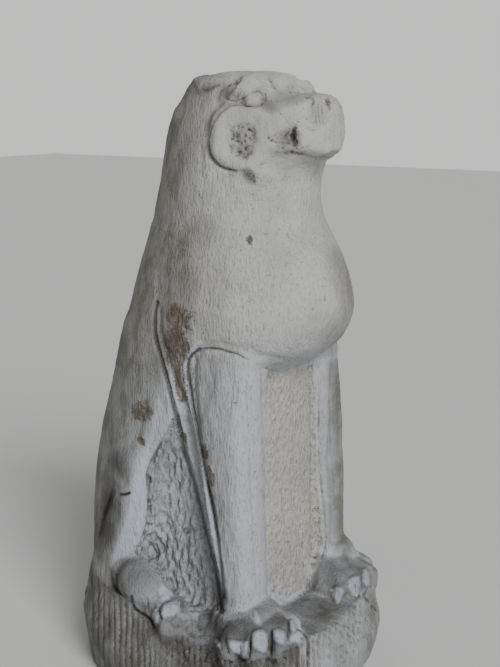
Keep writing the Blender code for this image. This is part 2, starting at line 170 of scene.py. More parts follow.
STRIP_EDGE = ((261, 374), (262, 404), (263.5, 460), (264.6, 497), (265.2, 552), (267, 594))
FAR_LEG_EDGE = ((318, 366), (318.5, 404), (318.3, 441), (319.5, 478), (325, 515), (326, 543), (317, 571))
FAR_LEG_CORNER = ((329.4, 352), (331.3, 441), (334, 480), (336, 545))
PANEL_BACK = (
    (176, 415), (168, 431), (160.5, 442), (155, 454), (151, 466), (148.5, 474), (149, 491), (149, 513),
    (146.5, 528), (141, 543),
)
BODY_LINES = (
    (FLAP_BACK, 3.2, 0.0095),
    (FLAP_FRONT, 2.4, 0.0062),
    (LEDGE[:5], 2.2, 0.0040),
    (LEDGE[4:], 2.6, 0.0014),
    (CALF, 3.2, 0.0060),
    (LEG_CORNER, 1.6, 0.0018),
    (PANEL_BACK, 3.0, 0.0030),
)

# Raised lines: the edge of the muzzle, the lip over the foreleg, the flap's crest, and the edges of the
# thigh, the shin and the foreleg
LIP = ((200, 344), (190.5, 352), (185.5, 363), (185.5, 377), (187, 384))
FLAP_EDGE = [(column + 4.5, row) for column, row in FLAP_BACK[4:-1]]
THIGH_EDGE = ((156, 392), (152, 412), (147, 432), (140, 448), (137, 460))
LEG_CREST = ((253, 366), (255.5, 404), (257, 460), (258, 520), (260, 575))
RAISED_LINES = (
    (MUZZLE_EDGE, 5.0, 0.0018),
    (LIP, 3.2, 0.0034),
    (FLAP_EDGE, 8.0, 0.0070),
    (THIGH_EDGE, 9.0, 0.0042),
    (SHIN_BACK, 9.0, 0.0034),
    (LEG_CREST, 5.5, 0.0016),
)

# Lines cut where the photograph shows them, and not on the left side as well
PAW_CRACK = ((297, 629), (303, 633), (307, 638), (308.6, 646), (307, 667))
HIND_CRACK = ((131.6, 596), (132.5, 605), (138, 611), (146, 616), (151, 621), (154, 628))
SHIN_SLOT = ((120.5, 494.5), (125, 494.3), (129.5, 493))
PANEL_HOLE = ((185, 530.5), (187, 532.5))
FLAP_FOOT = ((221, 604), (222, 612))
SEEN_LINES = (
    (STRIP_EDGE, 1.8, 0.0036),
    (SHIN_SLOT, 1.7, 0.0060),
    (PANEL_HOLE, 2.4, 0.0060),
    (FLAP_FOOT, 2.4, 0.0060),
    (FAR_LEG_EDGE, 2.0, 0.0022),
    (FAR_LEG_CORNER, 1.4, 0.0020),
    (((233, 504.6), (238, 503.8), (244, 500)), 0.9, 0.0016),
    (PAW_CRACK, 1.0, 0.0030),
    (HIND_CRACK, 1.5, 0.0050),
    (((250, 640), (250, 650), (248.5, 658)), 2.2, 0.0070),
    (((270.5, 628), (270.5, 640), (270, 654)), 2.2, 0.0070),
    (((288, 620), (288, 632), (287, 645)), 1.8, 0.0060),
    (((224, 636), (226, 646), (229, 655)), 2.0, 0.0050),
    (((238, 658.5), (243, 660), (249, 659)), 1.2, 0.0040),
    (((110, 570), (113, 580), (118, 590), (127, 598)), 2.2, 0.0040),
)

# Toes and claws, as outlines and heights, and the width of their edge in pixels
TOE_EDGE = 2.2
TOES = (
    (((213, 640), (219, 638), (222, 644), (221, 650), (216, 648)), 0.0030),
    (((226, 640), (232, 639), (240, 640), (250, 640), (249.5, 649), (247, 658), (243, 659.5), (239, 656),
      (233, 653), (228, 648)), 0.0044),
    (((251, 633), (256, 629), (264, 628), (268.5, 634), (270, 643), (268, 654), (262, 654), (256, 651),
      (251, 647)), 0.0044),
    (((271.5, 629), (278, 628), (287, 631), (287, 638), (284.5, 646), (277, 644.5), (272, 640)), 0.0044),
    (((288, 621), (291, 617), (296.5, 621), (297.5, 631), (293, 635), (289, 630)), 0.0036),
    (((252.5, 608.5), (256.5, 608), (259.5, 616), (261, 625), (257, 622), (253, 617)), 0.0034),
    (((328, 589), (336, 586), (343, 586), (346, 592), (341, 602), (337, 606), (332, 598)), 0.0044),
    (((346, 579), (353, 575), (361, 574), (361.5, 588), (358, 598), (350, 596), (346, 588)), 0.0044),
    (((361, 569), (367, 567), (371, 574), (371, 585), (365, 589), (361, 582)), 0.0036),
    (((162, 604), (169, 601), (177, 598), (181, 603), (179.5, 611), (175, 618), (168, 618), (162, 619),
      (160, 612)), 0.0050),
    (((152, 609), (158, 607), (161, 615), (160, 623), (157, 628), (153.5, 622), (150, 616)), 0.0040),
    (((157, 589), (163, 583), (170, 586), (174, 593), (170, 599), (163, 602), (158, 600)), 0.0036),
)

# The ground is cut back under the near paw's toes: outline, width of its edge in pixels, and depth
UNDER_TOES = (
    (228, 662), (240, 665), (250, 661), (262, 657), (272, 659), (286, 649), (296, 640), (301, 648),
    (300, 690), (228, 690),
)
UNDERCUT_EDGE = 3
UNDERCUT = 0.007

# Faces painted lighter, as painted highlights where they catch the light
THIGH_FACE = (
    (158, 396), (170, 404), (174, 418), (166, 434), (159, 443), (153, 455), (148.5, 467), (141, 462),
    (143, 449), (150, 434), (155, 418),
)
SHIN_FACE = (
    (135, 472), (145.7, 474), (147, 491), (146.5, 513), (144, 529), (138, 544), (134, 553), (128, 557),
    (119, 560), (114, 564), (110.5, 571), (109, 565), (110.5, 558), (115, 546), (124, 521), (129, 498),
)

# Pecked panels, as outlines: behind the foreleg, and between the forelegs. The side one is also sunk.
SIDE_PANEL = (
    (174, 418), (166, 434), (159, 443), (153, 455), (148.5, 466), (146, 474), (147, 491), (147, 513),
    (144.5, 528), (139, 543), (134, 553), (146, 560), (157, 572), (168, 588), (182, 598), (190, 612),
    (219, 610), (213, 559), (207, 535), (199, 503), (192, 477), (184, 452), (177, 424),
)
FRONT_PANEL = (
    (262, 371), (263, 404), (264.5, 460), (265.6, 497), (266.2, 552), (268, 591), (287, 598), (304, 589),
    (315, 571), (324, 543), (323, 515), (318.5, 478), (317, 441), (316.5, 404), (316, 362), (296, 368),
    (279, 372.5),
)
PANEL_SINK = 0.0035

# Heights of uneven dressing: on the ground between the paws, and as broad, middling and fine lumps
GROUND_LUMPS = 0.0018
BROAD_LUMPS = 0.0011
MIDDLE_LUMPS = 0.0007
FINE_LUMPS = 0.0007

# Height of the fine strokes between the furrows, and how far round from the tiger's right side, towards
# its front, the furrows are deepest
FINE_STROKES = 0.0022
DEEPEST_FURROWS = math.radians(12)

# The tools' marks fade out over this height above the underside, which stays flat
MARKS_ABOVE = 0.006

# Lumps joined to the solid before it is carved: middle and radii in metres, first on both sides and then
# on the right side alone. They fill the notch behind the ear and the hollow under the jaw.
PAIRED_LUMPS = (
    ((-0.073, 0.012, 0.967), (0.020, 0.022, 0.017)),
)
RIGHT_LUMPS = (
    ((-0.022, -0.144, 0.862), (0.055, 0.020, 0.018)),
)

# Swellings, as middle, radii, turn in degrees and height: eyeball, brow, the brow's left end, ear, the
# cheek's roll, the neck's side under the jaw, and the knee
SWELLINGS = (
    ((253, 99.5), (12, 7.2), -8, 0.0052),
    ((250, 84), (21, 11), -28, 0.0060),
    ((231, 93), (8, 6), -40, 0.0030),
    ((208, 84), (20, 9), -22, 0.0024),
    ((218, 146), (9, 23), 8, 0.0026),
    ((124, 466), (7, 14), -8, 0.0034),
)

# Where the surface is smoothed again, as rounds, and as middle and radii
MELTING_ROUNDS = 160
MELTED = (
    ((309, 84), (17, 13)),
    ((298, 166), (38, 16)),
    ((186, 96), (14, 20)),
    ((163, 280), (9, 32)),
)

# Breaks and stains are kept to the right side, and end this far to the left of the middle
RIGHT_END = 0.02

# Broken places, as middle, radii, turn, depth and the size of the broken lumps in millimetres
BREAKS = (
    ((243, 141), (16, 20), 15, 0.0055, 9.0),
    ((236, 134), (7, 10), 0, 0.0045, 5.0),
    ((251, 133), (8, 6), -20, 0.0040, 4.5),
    ((242, 154), (8, 8), 0, 0.0036, 5.0),
    ((250, 177), (5, 9.5), -32, 0.0036, 5.0),
    ((291, 137), (9, 12), 15, 0.0060, 8.0),
    ((281, 141), (10, 10), 0, 0.0036, 6.0),
    ((297, 150), (20, 7), 4, 0.0030, 6.0),
    ((270, 139), (4, 2.6), 50, 0.0090, 6.0),
    ((298, 122), (1.8, 1.8), 0, 0.0040, 4.0),
    ((200, 656), (24, 14), 5, 0.0080, 9.0),
    ((250, 668), (50, 10), 0, 0.0050, 8.0),
    ((176, 652), (14, 12), 30, 0.0060, 8.0),
    ((188, 626), (20, 10), 25, 0.0040, 7.0),
    ((163, 604), (22, 18), 30, 0.0032, 11.0),
    ((142, 414), (9, 12), -20, 0.0016, 4.0),
    ((141, 441), (3.5, 4.5), -30, 0.0026, 4.0),
    ((206, 455), (3.2, 12), -14, 0.0018, 4.0),
    ((179, 345), (16, 44), -8, 0.0014, 5.0),
)

# Stains, as middle, radii, turn and strength
STAINS = (
    ((180, 323), (19, 24), 0, 0.75),
    ((176, 346), (15, 26), 0, 1.0),
    ((180, 382), (9, 24), -8, 0.85),
    ((143, 411), (13, 14), -20, 0.85),
    ((141, 441), (4, 6), -30, 1.0),
    ((184.5, 437), (3, 7), -20, 0.9),
    ((204, 452), (5, 10), -18, 0.85),
    ((211, 475), (3.5, 14), -12, 0.85),
    ((249.5, 240), (4, 6), 0, 0.9),
    ((328, 104), (3, 7.5), -15, 1.0),
    ((296, 138), (3, 7), 10, 0.7),
    ((236, 138), (7, 14), 0, 0.35),
)

# Grey dirt that has settled, and painted shade under the jaw, the muzzle and the chest, as middle, radii,
# turn and strength
GREY_DIRT_AND_SHADE = (
    ((120, 463), (12, 18), -10, 0.9),
    ((108, 520), (13, 50), 8, 1.0),
    ((137, 577), (34, 27), 0, 0.8),
    ((133, 563), (20, 8), -4, 0.9),
    ((150, 606), (18, 12), 30, 0.7),
    ((180, 634), (52, 26), 28, 0.85),
    ((249, 176), (7, 11), -32, 0.8),
    ((270, 107), (13, 7), 10, 0.75),
    ((243, 141), (17, 21), 0, 0.5),
    ((289, 140), (14, 14), 0, 0.65),
    ((228, 90), (10, 9), 0, 0.6),
    ((300, 154), (36, 7), 5, 0.5),
    ((208, 88), (14, 6), -25, 0.6),
    ((300, 97), (36, 8), -15, 0.5),
    ((317, 112), (11, 17), 0, 0.4),
    ((283, 92), (22, 6), -24, 0.35),
    ((305, 160), (26, 6), 8, 0.35),
    ((215, 78), (16, 7), 10, 0.35),
    ((260, 72), (26, 8), 6, 0.25),
    ((334, 155), (12, 6), -30, 0.5),
    ((292, 359), (42, 8), -12, 0.3),
)

# The same as outlines, the width of their edge in pixels and strength: the paws, the ground between them
# and the plinth under the near paw
GREY_DIRT_AND_SHADE_AREAS = (
    (((196, 612), (206, 609), (219, 611), (226, 617), (240, 615), (251, 610), (254, 616), (259, 623),
      (262, 619), (271, 612), (274, 605), (285, 611), (291, 618), (299, 622), (299, 634), (289, 640),
      (287, 650), (272, 658), (262, 656), (256, 657), (248, 662), (240, 664), (225, 657), (210, 652),
      (198, 640), (193, 625)), 5.0, 0.95),
    (((311, 572), (317, 560), (330, 555), (345, 552), (358, 557), (369, 564), (374, 576), (368, 590),
      (350, 600), (335, 606), (325, 599), (308, 593), (312, 581)), 5.0, 0.85),
    (((268, 594), (287, 600), (306, 592), (320, 595), (347, 605), (340, 614), (312, 624), (298, 619),
      (285, 606)), 5.0, 1.0),
    (((170, 630), (196, 632), (215, 645), (250, 650), (290, 640), (305, 640), (300, 656), (290, 700),
      (170, 700)), 6.0, 0.85),
)

# What is darker at the back and the far edges, with weathering and painted shade, as lines, their reach in
# pixels and strength
WEATHERING_AND_SHADE = (
    (((182, 88), (174, 110), (168, 150), (163, 200), (155, 250), (140, 310), (124, 370), (110, 430),
      (100, 480), (96, 520), (92, 560), (88, 600)), 40, 1.0),
    (((176, 240), (172, 290), (150, 350), (130, 400), (116, 440)), 36, 1.0),
    (((196, 232), (184, 262), (172, 290)), 28, 0.7),
    (((222, 240), (214, 285), (206, 325)), 22, 0.3),
    (((176, 435), (160, 470), (152, 505)), 16, 0.3),
)
# The same on the side the camera sees: weathering and painted shade on the far edges and the plinth
SEEN_WEATHERING_AND_SHADE = (
    (((378, 570), (379, 610), (377, 640), (370, 680)), 24, 1.0),
    (((338, 368), (340, 440), (342, 500), (345, 545)), 15, 1.0),
    (((327, 375), (328, 450), (330, 540)), 9, 0.3),
    (((342, 262), (353, 295), (350, 320), (336, 345)), 20, 0.7),
    (((336, 620), (342, 660)), 34, 0.62),
)

# The side of the stone painted darker, with weathering and painted shade, faces this way, away from the
# camera
SHADED_WAY = (-0.45, 0.89, 0.0)

# The face as an oval, above the height of the head's foot: its stone isn't hatched
FACE = ((276, 122), (74, 56))
HEAD_FOOT = 0.8

# A hollow this deep is darkest, with dirt and painted shade
DARKEST_HOLLOW = 0.0012

# Painted shade along the deep grooves, cracks and holes, as lines, their reach in pixels and strength
GROOVE_SHADES = (
    (FLAP_BACK, 2.3, 1.0),
    (FLAP_FRONT, 1.8, 0.9),
    (LEDGE[:4], 1.8, 0.6),
    (CALF, 2.4, 0.5),
    (CHEEK_EDGE, 2.2, 0.25),
    (EYE_FOOT, 1.8, 0.3),
    (EAR_FRONT, 4.0, 0.3),
    (EAR_HOLLOW, 3.5, 0.2),
    (FROWN, 3.5, 0.25),
    (JAW, 3.0, 0.35),
    (MOUTH_HOLE, 3.0, 0.9),
    (NOSTRIL, 1.8, 0.6),
    (PANEL_BACK, 1.6, 0.3),
    (STRIP_EDGE, 1.6, 0.35),
    (SHIN_SLOT, 2.0, 1.0),
    (PANEL_HOLE, 2.6, 1.0),
    (FLAP_FOOT, 2.8, 1.0),
    (PAW_CRACK, 1.4, 1.0),
    (HIND_CRACK, 2.2, 1.0),
)

# Weight of the points that the photograph sees when the mesh is thinned, where the others have 1
SEEN_THINNING = 0.25

# The stage: half the floor's side, and the lights' places and widths in degrees
FLOOR_REACH = 12
KEY_PLACE = (-1.4, -2.4, 1.9)
KEY_SPREAD = 24
BACK_PLACE = (1.8, 2.2, 2.0)
BACK_SPREAD = 60


class TigerCarving(bpy.types.PropertyGroup):
    """How finely the block is carved."""

    grain: FloatProperty(
        name="Grain", description="Size of the finest form", default=0.0022, min=0.001, unit="LENGTH"
    )
    easing: IntProperty(
        name="Easing", description="Rounds that smooth the solid's flat faces away", default=18, min=0
    )
    triangles: IntProperty(
        name="Triangles", description="Triangles kept in the finished piece", default=194000, min=1000
    )
    pecking: FloatProperty(
        name="Pecking", description="Depth of the pecked hollows in the panels", default=0.0024,
        unit="LENGTH",
    )
    furrow_width: FloatProperty(
        name="Furrow width", description="From furrow to furrow round the plinth", default=0.0105,
        unit="LENGTH",
    )
    furrow_depth: FloatProperty(
        name="Furrow depth", description="Depth of the furrows round the plinth", default=0.0046,
        unit="LENGTH",
    )


class TigerStone(bpy.types.PropertyGroup):
    """The colours of the stone, of what has settled on it, and of its painted shade and highlights."""

    light: FloatVectorProperty(
        name="Light stone", description="Clean, dry stone", subtype="COLOR", default=(0.64, 0.64, 0.63)
    )
    dull: FloatVectorProperty(
        name="Dull stone", description="Greyer patches", subtype="COLOR", default=(0.44, 0.435, 0.415)
    )
    cool: FloatVectorProperty(
        name="Cool stone", description="Bluer stone of the legs", subtype="COLOR",
        default=(0.57, 0.61, 0.67),
    )
    # Weathering and painted shade on the side away from the light, the far edges and the plinth's side
    weathering_and_shade: FloatVectorProperty(
        name="Weathered stone", description="Browner stone of the back", subtype="COLOR",
        default=(0.155, 0.147, 0.123),
    )
    # Grey dirt on what faces up, and painted shade under the jaw and chest, under the toes and between the
    # paws
    grey_dirt_and_shade: FloatVectorProperty(
        name="Settled dirt", description="Grey dirt on what faces up", subtype="COLOR",
        default=(0.070, 0.067, 0.060),
    )
    # Painted highlight on the claws and toes, the shin's and thigh's facets, the lip and the flap's crest
    clean: FloatVectorProperty(
        name="Clean stone", description="Claws and edges rubbed clean", subtype="COLOR",
        default=(0.64, 0.69, 0.77),
    )
    # The groove colour is painted shade in the deep grooves, cracks and holes
    groove: FloatVectorProperty(
        name="Groove", description="Dirt in the deep grooves", subtype="COLOR",
        default=(0.035, 0.031, 0.024),
    )
    warm: FloatVectorProperty(
        name="Warm stone", description="The panel between the legs", subtype="COLOR",
        default=(0.58, 0.55, 0.48),
    )
    # Dirt, and painted shade in the hollows and in the pecks' valleys
    dirt_and_shade: FloatVectorProperty(
        name="Dirt", description="Dirt in the hollows", subtype="COLOR", default=(0.115, 0.10, 0.08)
    )
    stain: FloatVectorProperty(
        name="Stain", description="Brown stains", subtype="COLOR", default=(0.125, 0.098, 0.064)
    )
    roughness: FloatProperty(
        name="Roughness", description="Roughness of the stone", default=0.82, min=0, max=1,
        subtype="FACTOR",
    )


class TigerStage(bpy.types.PropertyGroup):
    """The floor and the light."""

    floor: FloatVectorProperty(
        name="Floor", description="The plain floor", subtype="COLOR", default=(0.80, 0.80, 0.79)
    )
    key: FloatProperty(
        name="Key light", description="Strength of the soft light from the front", default=2.2, min=0
    )
    back: FloatProperty(
        name="Back light", description="Strength of the soft light from behind", default=0.35, min=0
    )
    sky: FloatProperty(
        name="Sky", description="Strength of the light all round", default=0.24, min=0
    )


def camera_turn():
    """The camera's turn, as a matrix whose columns point right, up and backwards."""
    aside = math.atan((PHOTO_WIDTH / 2 - AXIS_COLUMN) / FOCAL_PIXELS)
    return Euler((math.pi / 2 - CAMERA_PITCH, 0, CAMERA_AZIMUTH - aside)).to_matrix()


def camera_place():
    """Where the camera stands."""
    across = CAMERA_DISTANCE * math.sin(CAMERA_AZIMUTH)
    ahead = -CAMERA_DISTANCE * math.cos(CAMERA_AZIMUTH)
    return Vector((across, ahead, CAMERA_HEIGHT))


def in_photograph(places):
    """The column and row in which each place shows."""
    seen = (places - np.array(camera_place())) @ np.array(camera_turn())
    scale = -FOCAL_PIXELS / seen[:, 2]
    return np.stack([PHOTO_WIDTH / 2 + seen[:, 0] * scale, PHOTO_HEIGHT / 2 - seen[:, 1] * scale], axis=1)


def smooth_step(low, high, values):
    """0 at low and beyond, 1 at high and beyond, and a smooth rise between."""
    t = np.clip((values - low) / (high - low), 0, 1)
    return t * t * (3 - 2 * t)


def smooth_through(points):
    """Points on a Catmull-Rom curve through the given ones."""
    rows = np.array(points, float)
    padded = np.vstack([2 * rows[0] - rows[1], rows, 2 * rows[-1] - rows[-2]])
    found = []
    for a, b, c, d in zip(padded, padded[1:], padded[2:], padded[3:]):
        for t in np.arange(LINE_STEPS) / LINE_STEPS:
            bend = 2 * a - 5 * b + 4 * c - d
            swing = 3 * b - a - 3 * c + d
            found.append(0.5 * (2 * b + (c - a) * t + bend * t**2 + swing * t**3))
    return np.array(found + [rows[-1]])


# Noise is turned, so that its cells lie along none of the statue's faces
NOISE_TURN = np.array(Euler((0.61, 0.47, 0.83)).to_matrix())


def hashed(cells, seed):
    """A number from 0 to 1 for each whole cell, which looks random and is always the same."""
    mixed = np.full(len(cells), seed * 374761393 + 668265263, np.uint64)
    for axis, prime in enumerate((2246822519, 3266489917, 1274126177)):
        mixed = mixed + cells[:, axis].astype(np.int64).astype(np.uint64) * np.uint64(prime)
        mixed ^= mixed >> np.uint64(15)
        mixed *= np.uint64(2654435761)
        mixed ^= mixed >> np.uint64(13)
    return (mixed & np.uint64(0xFFFFFF)).astype(float) / 0xFFFFFF


def noise(places, sizes, seed):
    """Smooth noise from -1 to 1, whose lumps have about this size along each axis."""
    cells = places / np.array(sizes, float) @ NOISE_TURN
    low = np.floor(cells)
    part = cells - low
    ease = part * part * (3 - 2 * part)
    total = np.zeros(len(places))
    for corner in product((0, 1), repeat=3):
        weight = np.prod(np.where(corner, ease, 1 - ease), axis=1)
        total += weight * hashed(low + corner, seed)
    return 2 * total - 1


class Surface:
    """The statue's points while it is carved, their outward directions, and their pixels."""

    def __init__(self, mesh):
        self.mesh = mesh
        self.places = self.read("co")
        pairs = np.empty(len(mesh.edges) * 2, int)
        mesh.edges.foreach_get("vertices", pairs)
        self.pairs = pairs.reshape(-1, 2)
        self.links = np.bincount(pairs, minlength=len(self.places))
        self.refresh()

    def read(self, name):
        """One vector of each point, such as its place or outward direction."""
        values = np.empty(len(self.mesh.vertices) * 3, np.float32)
        self.mesh.vertices.foreach_get(name, values)
        return values.reshape(-1, 3).astype(float)

    def refresh(self):
        """Writes the places, and works out the outward directions and the pixels again."""
        self.mesh.vertices.foreach_set("co", self.places.astype(np.float32).ravel())
        self.mesh.update()
        self.outward = self.read("normal")
        self.folded = self.places * np.where(self.places[:, :1] > 0, (-1, 1, 1), 1)
        folded_outward = self.outward * np.where(self.places[:, :1] > 0, (-1, 1, 1), 1)
        self.pixels = {"both": in_photograph(self.folded), "seen": in_photograph(self.places)}
        self.facing = {
            "both": self.faced(self.folded, folded_outward),
            "seen": self.faced(self.places, self.outward),
        }

    def faced(self, places, outward):
        """How squarely each point faces the camera, from -1 to 1."""
        back = np.array(camera_place()) - places
        return (back * outward).sum(1) / np.linalg.norm(back, axis=1)

    def averaged(self, values, rounds):
        """Values with each point's moved half way to the mean of its neighbours', this many times."""
        for _ in range(rounds):
            total = np.zeros_like(values)
            for one, other in ((0, 1), (1, 0)):
                for k in range(values.shape[1]):
                    total[:, k] += np.bincount(
                        self.pairs[:, one], values[self.pairs[:, other], k], len(values)
                    )
            values = 0.5 * values + 0.5 * total / self.links[:, None]
        return values

    def move(self, heights):
        """Moves every point outwards by its height. A negative height cuts in."""
        self.places = self.places + self.outward * heights[:, None]
        self.refresh()

    def near_line(self, line, reach, side):
        """The points within reach of a line: their numbers, distance from it and share of its length."""
        line = smooth_through(line)
        pixels = self.pixels[side]
        near = (pixels > line.min(0) - reach) & (pixels < line.max(0) + reach)
        numbers = np.flatnonzero(near.all(1) & (self.facing[side] > LEAST_FACING))
        here = pixels[numbers]
        distance = np.full(len(numbers), np.inf)
        share = np.zeros(len(numbers))
        run = 0.0
        for start, end in zip(line, line[1:]):
            length = np.linalg.norm(end - start)
            way = (end - start) / length
            step = np.clip((here - start) @ way, 0, length)
            off = np.linalg.norm(here - start - step[:, None] * way, axis=1)
            nearer = off < distance
            distance[nearer] = off[nearer]
            share[nearer] = run + step[nearer]
            run += length
        close = distance < reach
        return numbers[close], distance[close], share[close] / run

    def cut(self, heights, line, half_width, depth, side="both"):
        """Cuts a groove along a line, shallower at its two ends. A negative depth raises a ridge."""
        numbers, distance, share = self.near_line(line, half_width, side)
        section = (1 - (distance / half_width) ** 2) ** 2
        ends = 0.35 + 0.65 * smooth_step(0, 0.15, np.minimum(share, 1 - share))
        cut = -depth * section * ends
        deeper = np.abs(cut) > np.abs(heights[numbers])
        heights[numbers[deeper]] = cut[deeper]

    def stroke(self, line, reach, side="both"):
        """1 along a line, falling to 0 at its reach."""
        numbers, distance, _ = self.near_line(line, reach, side)
        found = np.zeros(len(self.places))
        found[numbers] = 1 - (distance / reach) ** 2
        return found

    def oval(self, middle, radii, turn=0, side="both", least=LEAST_FACING):
        """Each point's height from 0 to 1 on a smooth swelling over an oval, where it faces the camera."""
        off = self.pixels[side] - middle
        angle = math.radians(turn)
        along = off[:, 0] * math.cos(angle) + off[:, 1] * math.sin(angle)
        across = off[:, 1] * math.cos(angle) - off[:, 0] * math.sin(angle)
        size = (along / radii[0]) ** 2 + (across / radii[1]) ** 2
        return np.clip(1 - size, 0, 1) * (self.facing[side] > least)

    def inside(self, outline, edge, side="both"):
        """1 inside an outline and 0 outside it, with an edge this many pixels wide inside it."""
        pixels = self.pixels[side]
        corners = np.array(outline, float)
        crossings = np.zeros(len(pixels), int)
        distance = np.full(len(pixels), np.inf)
        for start, end in zip(corners, np.roll(corners, -1, axis=0)):
            rise = end[1] - start[1]
            spans = (start[1] > pixels[:, 1]) != (end[1] > pixels[:, 1])
            if rise:
                where = start[0] + (pixels[:, 1] - start[1]) * (end[0] - start[0]) / rise
                crossings += spans & (pixels[:, 0] < where)
            length = np.linalg.norm(end - start)
            way = (end - start) / length
            step = np.clip((pixels - start) @ way, 0, length)
            distance = np.minimum(distance, np.linalg.norm(pixels - start - step[:, None] * way, axis=1))
        shown = self.facing[side] > LEAST_FACING
        return np.where((crossings % 2 == 1) & shown, smooth_step(0, edge, distance), 0)

    def write_mask(self, name, values):
        """Keeps a number from 0 to 1 for each point, for the material."""
        layer = self.mesh.attributes.new(name, "FLOAT", "POINT")
        layer.data.foreach_set("value", np.clip(values, 0, 1).astype(np.float32))


def plinth_top(places):
    """The height of the plinth's top at each place."""
    slope = np.where(places[:, 1] < 0, PLINTH_FRONT_SLOPE, PLINTH_BACK_SLOPE)
    return PLINTH_TOP + slope * places[:, 1]


def plinth_side(surface):
    """1 on the plinth's side and 0 elsewhere."""
    out = np.linalg.norm(surface.places[:, :2], axis=1)
    low = smooth_step(0.004, -0.004, surface.places[:, 2] - plinth_top(surface.places))
    leaning = smooth_step(0.86, 0.74, surface.outward[:, 2])
    leaning *= smooth_step(-0.9, -0.6, surface.outward[:, 2])
    return low * leaning * smooth_step(0.185, 0.2, out)


def furrows(surface, carving):
    """Heights of the upright furrows round the plinth, deepest on the tiger's right side."""
    turn = np.arctan2(surface.places[:, 1], surface.places[:, 0])
    sway = 0.3 * noise(surface.places, (0.03, 0.03, 0.09), 5)
    columns = surface.pixels["seen"][:, 0] / FURROW_PIXELS
    round_plinth = turn * CAD_BOX[1][0] / carving.furrow_width
    waves = np.where(surface.facing["seen"] > 0, columns, round_plinth) + sway
    section = np.abs(np.sin(np.pi * waves)) ** 0.8
    strength = 0.4 + 0.6 * smooth_step(0.1, 0.8, -np.cos(turn - DEEPEST_FURROWS))
    uneven = 0.7 + 0.5 * noise(surface.places, (0.02, 0.02, 0.045), 6)
    fine = FINE_STROKES * (1.2 - strength) * noise(surface.places, (0.0046, 0.0046, 0.035), 7)
    return carving.furrow_depth * strength * uneven * (section - 1) + fine


def tool_marks(surface, carving):
    """Heights of the marks of the tools: pecked panels, furrows round the plinth and uneven faces."""
    places = surface.folded
    side = surface.inside(SIDE_PANEL, 3)
    front = surface.inside(FRONT_PANEL, 2.5, "seen")
    plinth = plinth_side(surface)
    swirl = 0.004 * np.stack([noise(places, (0.03, 0.03, 0.03), seed) for seed in (21, 22, 23)], axis=1)
    pecks = 0.8 * noise(places, (0.0068, 0.0068, 0.016), 1)
    pecks += noise(places, (0.0048, 0.0048, 0.011), 2)
    lumps = np.abs(noise(surface.places + swirl, (0.009, 0.009, 0.011), 3))
    lumps += 0.5 * np.abs(noise(surface.places, (0.005, 0.005, 0.005), 4))
    pecks *= 1 + smooth_step(180, 150, surface.pixels["both"][:, 0])
    heights = side * carving.pecking * (1.45 * pecks - 0.2)
    heights -= PANEL_SINK * surface.inside(SIDE_PANEL, 1.5)
    heights += front * carving.pecking * 0.8 * (0.6 - 2.0 * lumps)
    heights += plinth * furrows(surface, carving)
    ground = smooth_step(0.7, 0.9, surface.outward[:, 2])
    ground *= smooth_step(0.02, 0.004, surface.places[:, 2] - plinth_top(surface.places))
    heights += ground * GROUND_LUMPS * noise(surface.places + swirl, (0.006, 0.013, 0.01), 8)
    heights += (1 - plinth) * BROAD_LUMPS * noise(places, (0.05, 0.05, 0.06), 9)
    heights += MIDDLE_LUMPS * noise(places, (0.016, 0.016, 0.03), 10)
    unpecked = (1 - side) * (1 - front)
    heights += FINE_LUMPS * noise(places + swirl, (0.007, 0.007, 0.018), 13) * unpecked
    return heights


def broken_places(surface):
    """Heights of the breaks and holes, which are jagged."""
    heights = np.zeros(len(surface.places))
    right = surface.places[:, 0] < RIGHT_END
    for middle, radii, turn, depth, lump in BREAKS:
        oval = surface.oval(middle, radii, turn, "seen") * right
        numbers = np.flatnonzero(oval)
        places = surface.places[numbers]
        oval = oval[numbers]
        ragged = oval + 0.4 * noise(places, (0.011, 0.011, 0.011), 14) * np.minimum(1, 4 * oval)
        size = lump / 1000
        jagged = 0.9 * np.abs(noise(places, (size, size, size), 11))
        jagged += 0.6 * np.abs(noise(places, (size / 2, size / 2, size / 2), 12))
        heights[numbers] -= depth * smooth_step(0.1, 0.5, ragged) * jagged
    return heights


def add_lump(work, middle, radii):
    """A ball, stretched to these radii, which remeshing then joins to the block."""
    form = Matrix.Translation(middle) @ Matrix.Diagonal((*radii, 1))
    bmesh.ops.create_icosphere(work, subdivisions=4, radius=1, matrix=form)


def merged_copy():
    """The solid's mesh with its loose triangles joined, and the lumps in it."""
    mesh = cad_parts[NODE].data.copy()
    mesh.name = "carved_tiger"
    work = bmesh.new()
    work.from_mesh(mesh)
    bmesh.ops.remove_doubles(work, verts=work.verts, dist=MERGE_DISTANCE)
    for middle, radii in RIGHT_LUMPS + PAIRED_LUMPS:
        add_lump(work, middle, radii)
    for middle, radii in PAIRED_LUMPS:
        add_lump(work, (-middle[0], middle[1], middle[2]), radii)
    work.to_mesh(mesh)
    work.free()
    mesh.materials.clear()
    return mesh


def with_modifier(piece, kind, **settings):
    """Gives the piece the mesh that one modifier makes of it."""
    modifier = piece.modifiers.new(kind.title(), kind)
    for name, value in settings.items():
        setattr(modifier, name, value)
    bpy.context.view_layer.update()
    mesh = bpy.data.meshes.new_from_object(piece.evaluated_get(bpy.context.evaluated_depsgraph_get()))
    piece.modifiers.clear()
    old = piece.data
    piece.data = mesh
    bpy.data.meshes.remove(old)


def soften(surface, base, carving):
    """Smooths the solid's flat faces away, and more so in the melted places, over a flat underside."""
    floor = surface.places[:, 2] < base + carving.grain / 2
    surface.places = surface.averaged(surface.places, carving.easing)
    surface.places[floor, 2] = base
    surface.refresh()
    melted = np.zeros(len(surface.places))
    for middle, radii in MELTED:
        for side in ("both", "seen"):
            oval = surface.oval(middle, radii, 0, side, -1)
            melted = np.maximum(melted, smooth_step(0, 0.5, oval))
    melted = melted[:, None]
    smoothed = surface.averaged(surface.places, MELTING_ROUNDS)
    surface.places = surface.places * (1 - melted) + smoothed * melted
    surface.refresh()


